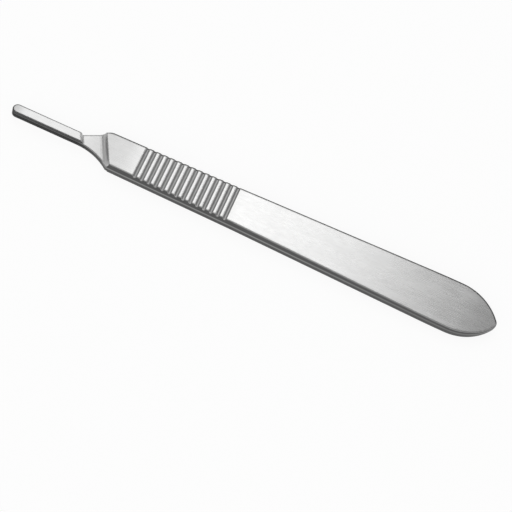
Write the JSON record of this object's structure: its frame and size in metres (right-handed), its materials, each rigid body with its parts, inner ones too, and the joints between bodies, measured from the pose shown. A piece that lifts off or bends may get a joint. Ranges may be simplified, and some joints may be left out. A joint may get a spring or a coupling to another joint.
{
  "type": "scalpel handle",
  "caption": "Flat steel scalpel handle with a slotted blade tang, an oblique shoulder, a cross-ribbed grip and a broad rounded tail.",
  "frame": {"origin": "under the middle of the handle's length and width, on the flat back face", "axes": "+X along the handle towards the rounded tail, +Y across it towards the straight far side of the neck, +Z out of the front face that carries the boss; the tang points to -X"},
  "size_m": [0.125, 0.013, 0.0035],
  "materials": {
    "steel": "satin"
  },
  "bodies": {
    "root": {"scalpel_handle": "steel"}
  },
  "joints": []
}
